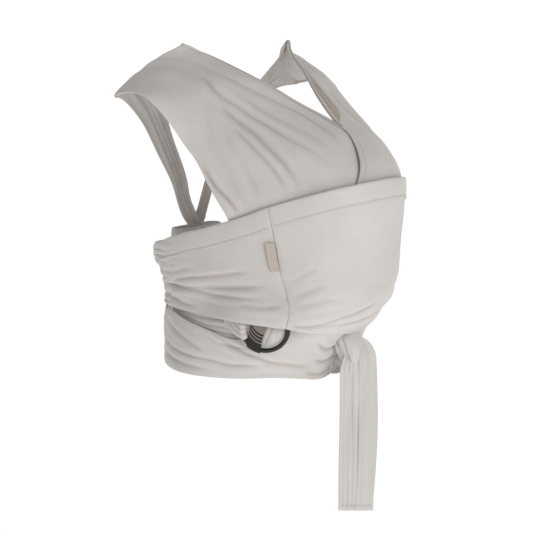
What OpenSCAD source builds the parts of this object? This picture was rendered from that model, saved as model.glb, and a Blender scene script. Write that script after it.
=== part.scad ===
// Soft wrap-style baby carrier, modelled in the shape it takes when worn.
// Frame: +Z up, the wearer faces -Y, the wearer's left is +X. The origin is on
// the torso's axis, at the middle height of the waist wraps.

/* [Worn size] */
// Width of the oval at the waist
waist_w = 332; // [310:2:350]
// Width of the oval at the top edge of the side bands
chest_w = 346; // [320:2:360]
// Depth behind the axis at the waist
waist_back = 134; // [124:1:144]
// Depth behind the axis at the top edge of the side bands
chest_back = 147; // [135:1:155]
// Depth in front of the axis at the knot
waist_front = 132; // [122:1:142]
// How much further forward the baby pouch reaches
pouch_d = 92; // [70:1:110]
// How far the sides draw in between the waist wraps and the bands
cinch = 8; // [0:1:14]

/* [Fabric] */
// Thickness of a single sewn layer
fabric_t = 2; // [1.2:0.1:2.4]
// Gap between neighbouring layers
layer_gap = 0.6; // [0.4:0.1:1]
// Height of the folded casing along the top edge
casing_h = 29; // [15:1:40]
// Width of the rolled hem along the shoulder straps, as a share of the strap
hem_share = 0.045; // [0.02:0.005:0.08]

/* [Rings] */
// Inside diameter of the large ring
ring_id = 57.8; // [52:0.2:60]
// Diameter of the round bar of the large ring
ring_bar = 6.8; // [5:0.05:7]
// Outside diameter of the small ring
small_ring_od = 61.5; // [56:0.5:63]
// Diameter of the round bar of the small ring
small_bar = 5.4; // [4:0.1:5.6]
// Width of the webbing that holds the rings
webbing_w = 20; // [14:1:24]

/* [Waist ties] */
// Free length of each tie tail below the knot
tail_l = 230; // [180:2:300]
// Width of the wide tail
wide_tail_w = 56; // [40:1:60]
// Width of the narrow tail
narrow_tail_w = 26; // [20:1:28]

/* [Label] */
// Height of the folded side label
label_h = 40; // [20:1:50]
// Width of the folded side label
label_w = 9; // [8:0.5:20]

/* [Hidden] */

CLOTH = [0.79, 0.77, 0.74];
CLOTH_IN = [0.72, 0.69, 0.65];
RING = [0.08, 0.08, 0.08];
WEBBING = [0.45, 0.40, 0.36];
LABEL = [0.80, 0.74, 0.66];

FRONT = 270;       // angle of the front centre round the oval
LIFT = 5;          // how far the outer tie stands off where the ties cross at the back

// ---- curves and grids ----

// Smooth step from 0 at a to 1 at b
function ease(a, b, x) = let (t = max(0, min(1, (x - a) / (b - a)))) t * t * (3 - 2 * t);

// Smooth bump of height 1 at the centre c, half as wide as w
function bump(c, w, x) = exp(-pow((x - c) / w, 2));

// the same with a flatter top and steeper sides
function plateau(c, w, x) = exp(-pow((x - c) / w, 4));

// Catmull-Rom curve through the points of P, with u from 0 to 1
function curve(P, u) =
    let (
        n = len(P) - 1,
        i = min(n - 1, floor(u * n)),
        f = u * n - i,
        b = P[i],
        c = P[i + 1],
        a = i > 0 ? P[i - 1] : 2 * b - c,
        d = i < n - 1 ? P[i + 2] : 2 * c - b
    )
    0.5 * (2 * b + (c - a) * f + (2 * a - 5 * b + 4 * c - d) * f * f
        + (3 * b - a - 3 * c + d) * f * f * f);

// Parabola through three points, with t from 0 to 1
function arch(a, b, c, t) =
    a * (1 - t) * (1 - 2 * t) + b * 4 * t * (1 - t) + c * t * (2 * t - 1);

function mirror_x(P) = [-P.x, P.y, P.z];

function cell_normal(G, i, j) =
    let (
        n = len(G) - 1,
        m = len(G[0]) - 1,
        di = G[min(i + 1, n)][j] - G[max(i - 1, 0)][j],
        dj = G[i][min(j + 1, m)] - G[i][max(j - 1, 0)],
        k = cross(di, dj)
    )
    k / norm(k);

// The grid G moved along its own normals
function shifted(G, d) =
    [for (i = [0 : len(G) - 1]) [for (j = [0 : len(G[0]) - 1]) G[i][j] + d * cell_normal(G, i, j)]];

// Closed solid between two grids of points that face each other
module between(A, B) {
    n = len(A);
    m = len(A[0]);
    function at(k, i, j) = (k * n + i) * m + j;
    function pair(a, b, c, d) = [[a, b, c], [a, c, d]];
    cells = [for (i = [0 : n - 2]) for (j = [0 : m - 2]) each concat(
        pair(at(0, i, j), at(0, i, j + 1), at(0, i + 1, j + 1), at(0, i + 1, j)),
        pair(at(1, i, j), at(1, i + 1, j), at(1, i + 1, j + 1), at(1, i, j + 1))
    )];
    ends = [for (i = [0 : n - 2]) each concat(
        pair(at(0, i, 0), at(0, i + 1, 0), at(1, i + 1, 0), at(1, i, 0)),
        pair(at(0, i, m - 1), at(1, i, m - 1), at(1, i + 1, m - 1), at(0, i + 1, m - 1))
    )];
    sides = [for (j = [0 : m - 2]) each concat(
        pair(at(0, 0, j), at(1, 0, j), at(1, 0, j + 1), at(0, 0, j + 1)),
        pair(at(0, n - 1, j), at(0, n - 1, j + 1), at(1, n - 1, j + 1), at(1, n - 1, j))
    )];
    polyhedron([for (G = [A, B]) for (r = G) for (p = r) p], concat(cells, ends, sides));
}

// ---- the worn form: ovals stacked along Z, round the torso and the baby ----

function form_w(z) = (waist_w + (chest_w - waist_w) * ease(50, 165, z)) / 2 - cinch * bump(96, 34, z);
function form_back(z) = waist_back + (chest_back - waist_back) * ease(50, 150, z) - cinch * bump(96, 34, z);
function form_front(z) = waist_front + pouch_d * (0.9 * ease(-30, 126, z) + 0.1 * ease(110, 240, z));
function form(phi, z, off) = [
    (form_w(z) + off) * cos(phi),
    ((sin(phi) > 0 ? form_back(z) : form_front(z)) + off) * sin(phi),
    z
];

// The fabric rises over the upper half of the rings on each hip
RING_PHI = 217.2;       // angle of the rings on the right hip
LEFT_RING_PHI = 206;   // the same on the left hip, mirrored: these sit a little further back
RING_Z = 62.5;
RING_OFF = 8.5;
function over_ring(phi, z) =
    let (ring = phi > FRONT ? 540 - LEFT_RING_PHI : RING_PHI)
    25 * plateau(ring, 23, phi) * bump(RING_Z + 15, 34, z);

// Layer heights above the form: the inner face of each layer
L_STRAP_R = -14;
L_STRAP_L = L_STRAP_R + fabric_t + 2.2;
L_WRAP_UNDER = -6.6;
L_LINING = -3.4;
L_PANEL = L_LINING + fabric_t * 0.7 + layer_gap + 0.4;
L_CASING = L_PANEL + fabric_t + layer_gap;

// A layer on the form. rows holds [low angle, low z, high angle, high z, height], from one end to the other.
// rise is 1 for a layer that goes over the rings
module layer(rows, n, m, t, flip = false, rise = 1) {
    function place(i, j, h) =
        let (
            r = curve(rows, i / n),
            v = j / m,
            phi = r[0] + (r[2] - r[0]) * v,
            z = r[1] + (r[3] - r[1]) * v,
            true_phi = flip ? 540 - phi : phi,
            p = form(phi, z, r[4] + h + rise * over_ring(true_phi, z))
        )
        flip ? mirror_x(p) : p;
    inner = [for (i = [0 : n]) [for (j = [0 : m]) place(i, j, 0)]];
    outer = [for (i = [0 : n]) [for (j = [0 : m]) place(i, j, t)]];
    turned = rows[0][0] > rows[len(rows) - 1][0];
    if (flip != turned) between(inner, outer);
    else between(outer, inner);
}

// ---- front panel ----

SEAM_TOP = 55.6;      // angle from the front centre to the seam, at the top edge
SEAM_LOW = 45;        // the same at the bottom edge
PANEL_TOP = 268;      // top edge at the front centre
PANEL_DROP = 34;      // how much lower it is at the seams
PANEL_LOW = 40;       // bottom edge at the front centre
PANEL_RISE = 26;      // how much higher it is at the seams
SEAM_GAP = 0.25;      // half the gap left at each seam, in degrees

function panel_top(s) = PANEL_TOP - PANEL_DROP * s * s;
function panel_low(s) = PANEL_LOW + PANEL_RISE * pow(abs(s), 1.5);
// s runs from -1 at the right seam to 1 at the left seam
function panel_row(s, low, high, height) = [
    FRONT + s * (SEAM_LOW - SEAM_GAP), panel_low(s) + low,
    FRONT + s * (SEAM_TOP - SEAM_GAP), panel_top(s) + high, height
];
// A strip along the top edge, from drop below it to the edge itself
function panel_strip(s, drop, height) =
    let (
        h = panel_top(s) - panel_low(s),
        v = 1 - drop / h,
        low = SEAM_LOW + (SEAM_TOP - SEAM_LOW) * v
    )
    [FRONT + s * (low - SEAM_GAP), panel_top(s) - drop, FRONT + s * (SEAM_TOP - SEAM_GAP), panel_top(s), height];

PANEL_STEPS = 24;
module front_panel()
    color(CLOTH)
    layer([for (k = [0 : PANEL_STEPS]) panel_row(2 * k / PANEL_STEPS - 1, 0, 0, L_PANEL)], PANEL_STEPS, 12, fabric_t);

module front_panel_lining()
    color(CLOTH_IN)
    layer([for (k = [0 : PANEL_STEPS]) panel_row(2 * k / PANEL_STEPS - 1, 3, -3, L_LINING)],
        PANEL_STEPS, 12, fabric_t * 0.7);

module front_panel_casing()
    color(CLOTH)
    layer([for (k = [0 : PANEL_STEPS]) panel_strip(2 * k / PANEL_STEPS - 1, casing_h, L_CASING)],
        PANEL_STEPS, 4, fabric_t * 0.8);

// ---- ties: a side band from the seam to the back, then a wrap round the other hip to the knot ----

// [low angle, low z, high angle, high z] of the tie that starts at the right seam
BAND_ROWS = [
    [225, 66, 214.4, 234],
    [204, 73, 199, 212],
    [180, 74, 181, 191],
    [159, 74, 160, 174],
    [138, 70, 139, 160],
    [113, 48, 115, 140],
    [90, 25, 92, 118]
];
// The wrap on the right hip, from the back to the knot
WRAP_ROWS = [
    [90, 25, 90, 116],
    [113, 2, 113, 90],
    [138, -14, 138, 66],
    [160, -17, 160, 68],
    [182, -17, 182, 58],
    [204, -18, 204, 42],
    [218, -18, 218, 54],
    [232, -19, 232, 72],
    [248, -25, 248, 60],
    [257, -30, 257, 48],
    [262, -30, 262, 36],
    [265.4, -22, 265.4, 23]
];
// How far the wrap lies inside the form, where it goes under the front panel
function wrap_under(phi) = (L_WRAP_UNDER - L_PANEL) * ease(186, 206, phi);
// The outer tie stands off the inner one where they cross
function crossing_lift(phi) = LIFT * (ease(30, 52, phi) - ease(128, 150, phi));
function lifted(rows, height, outer) =
    [for (r = rows) concat(r, [height + (outer ? crossing_lift(r[2]) : 0)])];
function strip_rows(rows, drop, height, outer) = [for (r = rows)
    let (v = 1 - drop / (r[3] - r[1]))
    [r[0] + (r[2] - r[0]) * v, r[3] - drop, r[2], r[3], height + (outer ? crossing_lift(r[2]) : 0)]];

module side_band(outer, flip)
    color(CLOTH) layer(lifted(BAND_ROWS, L_PANEL, outer), 18, 8, fabric_t, flip);

module side_casing(outer, flip)
    color(CLOTH) layer(strip_rows(BAND_ROWS, casing_h, L_CASING, outer), 18, 4, fabric_t * 0.8, flip);

// The wrap on the far side of the outer band is the outer one, so it starts lifted at the back
function mirror_lift(phi) = crossing_lift(180 - phi);
module waist_wrap(outer, flip)
    color(CLOTH)
    layer([for (r = WRAP_ROWS) concat(r, [L_PANEL + wrap_under(r[2]) + (outer ? mirror_lift(r[2]) : 0)])],
        26, 7, fabric_t * 1.3, flip, 0);

// ---- shoulder straps ----

// Neck edge, crown and arm edge of the left strap, from the top of the shoulder to the chest
STRAP_ROWS = [
    [[115, 47, 451], [157, 90, 417], [209, 97, 381]],
    [[98, 31, 439], [143, 49, 421], [212, 68, 386]],
    [[77, 9, 424], [131, 14, 411], [210, 40, 381]],
    [[56, -31, 402], [124, -19, 397], [204, 20, 365]],
    [[37, -60, 385], [120, -44, 376], [195, 3, 343]],
    [[20, -89, 368], [115, -77, 349], [185, -10, 319]],
    [[1, -129, 347], [106, -117, 323], [177, -28, 294]],
    [[-7, -168, 326], [94, -158, 296], [172, -46, 262]],
    [[-29, -200, 289], [82, -189, 265], [166, -68, 227]]
];
// The same strap under the front panel, on the form, down to the ring on the other hip: angle and z of both edges
STRAP_UNDER = [
    [252, 252, 338, 196],
    [243, 205, 318, 150],
    [236, 158, 292, 112],
    [231, 122, 264, 88],
    [226, 100, 242, 80]
];
STRAP_COLS = 8;
// Control grid of a strap: height is the offset of the stretch under the panel. The lower strap sinks
// behind the other one where the two cross on the chest.
function sink(height, k) = (L_STRAP_L - height) * (0.3 + 2.6 * ease(3, 6, k));
function strap_grid(height, t0, t1, cols) = concat(
    [for (k = [0 : len(STRAP_ROWS) - 1]) [for (j = [0 : cols])
        let (r = STRAP_ROWS[k])
        arch(r[0], r[1], r[2], t0 + (t1 - t0) * j / cols) + [0, sink(height, k), 0]]],
    [for (r = STRAP_UNDER) [for (j = [0 : cols])
        let (t = t0 + (t1 - t0) * j / cols)
        form(r[0] + (r[2] - r[0]) * t, r[1] + (r[3] - r[1]) * t, height)]]
);
// The control grid G drawn as a smooth grid of n steps, from share u0 to share u1 of its length
function smooth_grid(G, n, u0, u1) =
    [for (i = [0 : n]) [for (j = [0 : len(G[0]) - 1])
        curve([for (r = G) r[j]], u0 + (u1 - u0) * i / n)]];

module cloth(G, t, flip) {
    if (flip) {
        M = [for (r = G) [for (p = r) mirror_x(p)]];
        between(M, shifted(M, -t));
    } else between(shifted(G, t), G);
}

module shoulder_strap(height, flip)
    color(CLOTH) cloth(smooth_grid(strap_grid(height, 0, 1, STRAP_COLS), 25, 0, 1), fabric_t, flip);

// Rolled hem on the outside of the strap, between shares t0 and t1 of its width
HEM_END = 0.64;    // share of the strap's length at which it goes under the front panel
module strap_hem(height, t0, t1, flip) {
    G = smooth_grid(strap_grid(height, t0, t1, 1), 16, 0, HEM_END);
    color(CLOTH) cloth(shifted(G, fabric_t + layer_gap + 0.4), fabric_t * 0.6, flip);
}

// ---- back straps ----

// Neck edge, middle and arm edge of the left strap, from the top of the shoulder to the crossing at the back
BACK_ROWS = [
    [[116, 50, 449], [158, 93, 415], [209, 100, 378]],
    [[121, 65, 428], [152, 101, 401], [178, 117, 373]],
    [[116, 92, 398], [133, 115, 379], [149, 127, 358]],
    [[90, 116, 359], [103, 127, 344], [116, 133, 329]],
    [[60, 130, 311], [72, 135, 299], [84, 138, 287]],
    [[32, 135, 256], [42, 138, 247], [53, 140, 238]],
    [[9, 138, 196], [18, 140, 188], [28, 140, 180]]
];
// The same strap on the form, under the bands, round to the ring on the other hip
BACK_UNDER = [
    [102, 144, 97, 126],
    [122, 112, 119, 90],
    [150, 92, 149, 62],
    [178, 78, 178, 46],
    [198, 74, 198, 44],
    [211, 72, 210, 46]
];
BACK_SHIFT = 3.2;   // half the distance between the two straps where they cross
function back_grid(height, shift) = concat(
    [for (k = [0 : len(BACK_ROWS) - 1]) [for (j = [0 : 4])
        arch(BACK_ROWS[k][0], BACK_ROWS[k][1], BACK_ROWS[k][2], j / 4) + [0, shift * ease(3, 6, k), 0]]],
    [for (r = BACK_UNDER) [for (j = [0 : 4])
        form(r[0] + (r[2] - r[0]) * j / 4, r[1] + (r[3] - r[1]) * j / 4, height)]]
);
module back_strap(height, shift, flip) {
    G = smooth_grid(back_grid(height, shift), 26, 0.025, 1);
    R = [for (r = G) [for (j = [len(r) - 1 : -1 : 0]) r[j]]];
    color(CLOTH) cloth(R, fabric_t, flip);
}

// Flat sleeve of cloth that holds the two straps together where they cross
KEEPER_W = 102;
KEEPER_D = 28;
KEEPER_H = 28;
module back_cross_keeper()
    color(CLOTH)
    translate([0, 138, 140])
    linear_extrude(KEEPER_H) difference() {
        keeper_outline(0);
        keeper_outline(fabric_t * 0.8);
    }
module keeper_outline(inset) hull()
    for (s = [-1, 1]) translate([s * (KEEPER_W - KEEPER_D) / 2, 0]) circle(d = KEEPER_D - 2 * inset, $fn = 48);

// ---- rings on each hip ----

RING_MEAN = (ring_id + ring_bar) / 2;
RING_TILT = 4;
function ring_place(flip) = form(flip ? LEFT_RING_PHI : RING_PHI, RING_Z, RING_OFF);
function ring_yaw(P) = atan2(P.y / pow(form_front(RING_Z), 2), P.x / pow(form_w(RING_Z), 2));
STACK = (ring_bar + small_bar) / 2 + 0.5;    // distance between the planes of the two rings

// Ring frame on the right hip: local +Z points out of the hip, local +X points up
module at_ring(flip)
    mirror([flip ? 1 : 0, 0, 0])
    translate(ring_place(flip)) rotate([0, 0, ring_yaw(ring_place(flip))])
    rotate([0, 90 + RING_TILT, 0]) rotate([0, 0, 180]) children();

module torus(mean, bar) rotate_extrude($fn = 96) translate([mean, 0]) circle(d = bar, $fn = 32);

module ring_large(flip) color(RING) at_ring(flip) torus(RING_MEAN, ring_bar);

// The small ring lies between the large one and the hip, hooked on the same anchor at the top
module ring_small(flip)
    color(RING) at_ring(flip)
    translate([RING_MEAN - (small_ring_od - small_bar) / 2, 0, -STACK])
    torus((small_ring_od - small_bar) / 2, small_bar);

// Sleeve of webbing round a stretch of the large ring's bar, from angle a over the given sweep
module bar_sleeve(a, sweep, inner, wall)
    rotate([0, 0, a - sweep / 2])
    rotate_extrude(angle = sweep, $fn = 96)
    translate([RING_MEAN, 0])
    difference() {
        circle(r = inner + wall, $fn = 40);
        circle(r = inner, $fn = 40);
    }

// Webbing that crosses the mouth of the large ring to its rear lower side
SLEEVE_A = 150;
SLEEVE_SWEEP = 34;
STRIP_A = 168;        // direction of the flat stretch
STRIP_OFF = -10;      // how far that stretch lies to one side of the centre
SLEEVE_IN = ring_bar / 2 + 0.4;
WEB_T = 1.6;
module ring_webbing(flip)
    color(WEBBING) at_ring(flip) {
        bar_sleeve(SLEEVE_A, SLEEVE_SWEEP, SLEEVE_IN, WEB_T);
        rotate([0, 0, STRIP_A])
        translate([-10, STRIP_OFF - webbing_w / 2, SLEEVE_IN + WEB_T - 1.8]) cube([RING_MEAN + 8, webbing_w, 1.7]);
    }

// Sewn end of the strap that holds both rings at the top, with room for them to swing
ANCHOR_IN = ring_bar / 2 + 1.4;
module ring_anchor(flip)
    color(WEBBING) at_ring(flip)
    intersection() {
        translate([RING_MEAN - 9, -webbing_w / 2, -STACK - 6]) cube([18, webbing_w, STACK + 12]);
        difference() {
            hull() {
                translate([RING_MEAN, 0, 0]) rotate([90, 0, 0])
                    cylinder(r = ANCHOR_IN + 1.5, h = 60, center = true, $fn = 40);
                translate([RING_MEAN, 0, -STACK]) rotate([90, 0, 0])
                    cylinder(r = ANCHOR_IN + 0.8, h = 60, center = true, $fn = 40);
            }
            hull() {
                translate([RING_MEAN - 0.9, 0, 0]) rotate([90, 0, 0])
                    cylinder(r = ANCHOR_IN, h = 61, center = true, $fn = 40);
                translate([RING_MEAN - 0.9, 0, -STACK]) rotate([90, 0, 0])
                    cylinder(r = ANCHOR_IN - 0.4, h = 61, center = true, $fn = 40);
            }
        }
    }

// Puffed end of the shoulder strap where it comes out through the rings
module strap_tail(flip)
    color(CLOTH) at_ring(flip)
    hull() {
        translate([-2, -9, -1.2]) rotate_extrude($fn = 40) tail_dome(11);
        translate([3, -8, -1.2]) rotate_extrude($fn = 40) tail_dome(10);
    }
module tail_dome(r) intersection() {
    translate([0, 1.2]) scale([1, 0.22]) circle(r = r, $fn = 32);
    translate([0, -2]) square([r, 6]);
}

// ---- side label, sewn into the right seam ----

LABEL_Z = 146;
LABEL_SPAN = 3.5 * label_w / 9;     // width as an angle
function seam_phi(z) = 270 - SEAM_LOW - (SEAM_TOP - SEAM_LOW) * (z - 66) / 168;
function label_row(inset) = [
    seam_phi(LABEL_Z) - inset, LABEL_Z,
    seam_phi(LABEL_Z + label_h) - inset, LABEL_Z + label_h,
    L_CASING + 0.2
];
module label_tag()
    color(LABEL) layer([label_row(LABEL_SPAN + 0.4), label_row(0.4)], 2, 4, 1.2);

// ---- knot and tails ----

KNOT = [1.5, -153, 13];
module waist_knot()
    color(CLOTH) hull() {
        translate(KNOT + [-3, 0, 17]) sphere(r = 7, $fn = 24);
        translate(KNOT + [-9, -2, 2]) sphere(r = 9, $fn = 24);
        translate(KNOT + [9, -2, 0]) sphere(r = 9, $fn = 24);
        translate(KNOT + [2, -4, -14]) sphere(r = 7, $fn = 24);
    }

TAIL_TOP = 4;         // top of the tails, at the knot
TAIL_Y = -167.5;
TAIL_T = 3;
BEND_GAP = 5;         // gap at the bend, which the cloth spans
BEND_Z = TAIL_TOP - tail_l * 0.44;
TAIL_END = TAIL_TOP - tail_l;
TAIL_SLANT = 0.277;   // slope of the cut across the ends, which are longest on the wearer's left
module tail(x0, x1, z0, z1, bow, slant = 0)
    color(CLOTH) {
        G = [for (i = [0 : 8]) [for (j = [0 : 6])
            let (
                x = x0 + (x1 - x0) * j / 6,
                z = z0 + (z1 - slant * (x + 15) - z0) * i / 8,
                hang = sin(180 * (z - TAIL_TOP) / (TAIL_END - TAIL_TOP))
            )
            [x * (1 + 0.10 * hang), TAIL_Y - bow * sin(180 * j / 6) - 2 * hang, z]]];
        between(G, [for (r = G) [for (p = r) p + [0, TAIL_T, 0]]]);
    }
WIDE_X = 3;
NARROW_X = -WIDE_X - narrow_tail_w + 2;
module wide_tail(z0, z1, slant = 0) tail(WIDE_X, WIDE_X + wide_tail_w, z0, z1, 2, slant);
module narrow_tail(z0, z1, slant = 0) tail(NARROW_X, NARROW_X + narrow_tail_w, z0, z1, 1.5, slant);

front_panel();
front_panel_lining();
front_panel_casing();
side_band(true, false);  // side_band_right
side_band(false, true);  // side_band_left
side_casing(true, false);  // side_casing_right
side_casing(false, true);  // side_casing_left
waist_wrap(false, false);  // waist_wrap_right
waist_wrap(true, true);  // waist_wrap_left
shoulder_strap(L_STRAP_R, true);  // shoulder_strap_right
shoulder_strap(L_STRAP_L, false);  // shoulder_strap_left
strap_hem(L_STRAP_R, 0, hem_share, true);  // neck_hem_right
strap_hem(L_STRAP_L, 0, hem_share, false);  // neck_hem_left
strap_hem(L_STRAP_R, 1 - hem_share, 1, true);  // arm_hem_right
strap_hem(L_STRAP_L, 1 - hem_share, 1, false);  // arm_hem_left
back_strap(L_STRAP_R, -BACK_SHIFT, true);  // back_strap_right
back_strap(L_STRAP_L, BACK_SHIFT, false);  // back_strap_left
back_cross_keeper();
ring_large(false);  // ring_large_right
ring_large(true);  // ring_large_left
ring_small(false);  // ring_small_right
ring_small(true);  // ring_small_left
ring_webbing(false);  // ring_webbing_right
ring_webbing(true);  // ring_webbing_left
ring_anchor(false);  // ring_anchor_right
ring_anchor(true);  // ring_anchor_left
strap_tail(false);  // strap_tail_right
strap_tail(true);  // strap_tail_left
label_tag();
waist_knot();
wide_tail(TAIL_TOP, BEND_Z + BEND_GAP / 2);  // wide_tail_upper
wide_tail(BEND_Z - BEND_GAP / 2, TAIL_END, TAIL_SLANT);  // wide_tail_lower
narrow_tail(TAIL_TOP, BEND_Z + BEND_GAP / 2);  // narrow_tail_upper
narrow_tail(BEND_Z - BEND_GAP / 2, TAIL_END, TAIL_SLANT);  // narrow_tail_lower
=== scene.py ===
"""Looks of the soft baby carrier: cloth, webbing, rings, label, knot and tails round the CAD frame.

Shapes are worked out in millimetres, on the same surfaces as the CAD, and a mesh is made in metres.
"""

import math

import bpy
import numpy as np
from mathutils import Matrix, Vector


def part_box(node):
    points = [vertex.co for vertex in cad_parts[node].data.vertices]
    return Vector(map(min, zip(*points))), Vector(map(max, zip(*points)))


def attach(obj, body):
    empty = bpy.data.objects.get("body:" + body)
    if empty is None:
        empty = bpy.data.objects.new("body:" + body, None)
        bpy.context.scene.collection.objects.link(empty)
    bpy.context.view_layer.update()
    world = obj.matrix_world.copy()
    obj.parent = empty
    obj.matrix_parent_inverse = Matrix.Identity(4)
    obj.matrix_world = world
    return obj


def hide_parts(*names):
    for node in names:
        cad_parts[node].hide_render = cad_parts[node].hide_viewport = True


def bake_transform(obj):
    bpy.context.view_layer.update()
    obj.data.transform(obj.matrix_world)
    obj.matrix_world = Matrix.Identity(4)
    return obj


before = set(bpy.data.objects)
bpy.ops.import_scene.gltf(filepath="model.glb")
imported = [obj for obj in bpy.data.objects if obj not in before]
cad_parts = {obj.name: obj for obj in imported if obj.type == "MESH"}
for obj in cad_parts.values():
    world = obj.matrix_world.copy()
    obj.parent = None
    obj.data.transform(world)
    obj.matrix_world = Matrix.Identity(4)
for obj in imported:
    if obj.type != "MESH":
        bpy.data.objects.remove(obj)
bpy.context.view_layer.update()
scene = bpy.context.scene
MM = 0.001


# ---- curves and fields ----


def ease(a, b, x):
    """Smooth step from 0 at a to 1 at b."""
    t = np.clip((x - a) / (b - a), 0, 1)
    return t * t * (3 - 2 * t)


def bump(centre, width, x):
    """Smooth bump of height 1 at the centre."""
    return np.exp(-(((x - centre) / width) ** 2))


def plateau(centre, width, x):
    """Bump with a flatter top and steeper sides."""
    return np.exp(-(((x - centre) / width) ** 4))


def curve(points, u):
    """Catmull-Rom curve through the points, with u from 0 to 1."""
    p = np.asarray(points, float)
    p = np.concatenate([[2 * p[0] - p[1]], p, [2 * p[-1] - p[-2]]])
    u = np.asarray(u, float) * (len(p) - 3)
    i = np.clip(np.floor(u).astype(int), 0, len(p) - 4)
    f = (u - i).reshape(-1, *([1] * (p.ndim - 1)))
    a, b, c, d = [p[i + k] for k in range(4)]
    bend = (2 * a - 5 * b + 4 * c - d) * f * f
    return 0.5 * (2 * b + (c - a) * f + bend + (3 * b - a - 3 * c + d) * f**3)


def even_curve(points, u):
    """The same, but with u as a share of its length."""
    fine = curve(points, np.linspace(0, 1, 400))
    way = np.concatenate([[0], np.cumsum(np.linalg.norm(np.diff(fine, axis=0), axis=-1))])
    return np.stack([np.interp(u * way[-1], way, column) for column in fine.T], axis=-1)


def arch(a, b, c, t):
    """Parabola through three points, with t from 0 to 1."""
    return a * (1 - t) * (1 - 2 * t) + b * 4 * t * (1 - t) + c * t * (2 * t - 1)


WAVES = 16


def field(coords, scales, seed):
    """Smooth random field of about unit size, with a feature size for each coordinate."""
    rng = np.random.default_rng(seed)
    total = np.zeros(coords.shape[:-1])
    for _ in range(WAVES):
        way = rng.normal(size=len(scales)) / np.asarray(scales, float)
        total += np.sin(coords @ way * 2.2 + rng.uniform(0, 2 * math.pi))
    return total * math.sqrt(2 / WAVES)


def unit(v):
    return v / np.maximum(np.linalg.norm(v, axis=-1, keepdims=True), 1e-9)


def grid_normals(grid):
    return unit(np.cross(np.gradient(grid, axis=0), np.gradient(grid, axis=1)))


# ---- the worn form, as in the CAD ----

FRONT = 270             # angles round the form, in degrees
LEFT_RING = 334
RIGHT_RING = 217.2
RING_Z = 62.5
RING_RISE = 25          # how far the fabric stands out over the rings

# Size of the form at the waist, and how much it grows up to the chest
WIDTH, WIDER = 332, 14
BACK, DEEPER_BACK = 134, 13
BELLY, DEEPER_FRONT = 132, 92


def hollow(z):
    """How far the form draws in above the hips."""
    return 8 * bump(96, 34, z)


def form_w(z):
    return (WIDTH + WIDER * ease(50, 165, z)) / 2 - hollow(z)


def form_back(z):
    return BACK + DEEPER_BACK * ease(50, 150, z) - hollow(z)


def form_front(z):
    return BELLY + DEEPER_FRONT * (0.9 * ease(-30, 126, z) + 0.1 * ease(110, 240, z))


def form(phi, z, off):
    """Point at angle phi (degrees) and height z, off millimetres outside the worn form."""
    sin, cos = np.sin(np.radians(phi)), np.cos(np.radians(phi))
    depth = np.where(sin > 0, form_back(z), form_front(z))
    return np.stack([(form_w(z) + off) * cos, (depth + off) * sin, z + 0 * phi], axis=-1)


def over_ring(phi, z):
    """Rise of the fabric over the upper half of the rings."""
    ring = np.where(phi > FRONT, LEFT_RING, RIGHT_RING)
    return RING_RISE * plateau(ring, 23, phi) * bump(RING_Z + 15, 34, z)


def mirrored(grid):
    return grid * np.array([-1.0, 1.0, 1.0])


def layer(rows, flip=False, rise=1.0):
    """Surface through rows of low angle, low z, high angle, high z and height above the form."""

    def surface(u, t):
        r = curve(rows, u)[:, None, :]
        v = t[None, :]
        phi = r[..., 0] + (r[..., 2] - r[..., 0]) * v
        z = r[..., 1] + (r[..., 3] - r[..., 1]) * v
        true_phi = 540 - phi if flip else phi
        grid = form(phi, z, r[..., 4] + rise * over_ring(true_phi, z))
        return mirrored(grid) if flip else grid

    return surface


# Heights of the inner faces of the layers above the form
L_STRAP_R = -14
L_STRAP_L = -9.8
L_WRAP = -6.6
L_LINING = -3.4
L_PANEL = -1.0
CLOTH_T = 2.0

SEAM_TOP = 55.6         # angles from the front to the upper and the lower end of a side seam
SEAM_LOW = 45
SEAM_GAP = 0.25
PANEL_LOW = (40, 66)    # heights of the panel's lower edge, at the front and at the seams
PANEL_TOP = (268, 234)


def panel_rows(low, high, height):
    """Rows of the front panel from seam to seam, with low and high added to its edges."""
    s = np.linspace(-1, 1, 25)
    bottom = PANEL_LOW[0] + (PANEL_LOW[1] - PANEL_LOW[0]) * np.abs(s) ** 1.5 + low
    top = PANEL_TOP[0] + (PANEL_TOP[1] - PANEL_TOP[0]) * s * s + high
    low_phi, high_phi = [FRONT + s * (end - SEAM_GAP) for end in (SEAM_LOW, SEAM_TOP)]
    return np.stack([low_phi, bottom, high_phi, top, height + 0 * s], axis=1)


# Rows of low angle, low z, high angle, high z
BAND_ROWS = [
    [FRONT - SEAM_LOW, PANEL_LOW[1], FRONT - SEAM_TOP, PANEL_TOP[1]],
    [204, 73, 199, 212],
    [180, 74, 181, 191],
    [159, 74, 160, 174],
    [138, 70, 139, 160],
    [113, 48, 115, 140],
    [90, 25, 90, 117],
]
# Rows of angle, low z, high z
WRAP_ROWS = [
    [90, 25, 117],
    [113, 2, 90],
    [138, -14, 66],
    [160, -17, 68],
    [182, -17, 58],
    [204, -18, 42],
    [218, -18, 54],
    [232, -19, 72],
    [248, -25, 60],
    [257, -30, 48],
    [263, -31, 44],
    [269.6, -28, 42],
]


def crossing_lift(phi):
    """Rise of the outer tie where the two ties cross at the back."""
    return 5 * (ease(30, 52, phi) - ease(128, 150, phi))


def band_rows(outer):
    rows = np.array(BAND_ROWS, float)
    return np.column_stack([rows, L_PANEL + outer * crossing_lift(rows[:, 2])])


def wrap_rows(outer):
    phi, low, high = np.array(WRAP_ROWS, float).T
    under = (L_WRAP - L_PANEL) * ease(186, 206, phi)
    return np.column_stack([phi, low, phi, high, L_PANEL + under + outer * crossing_lift(180 - phi)])


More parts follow.
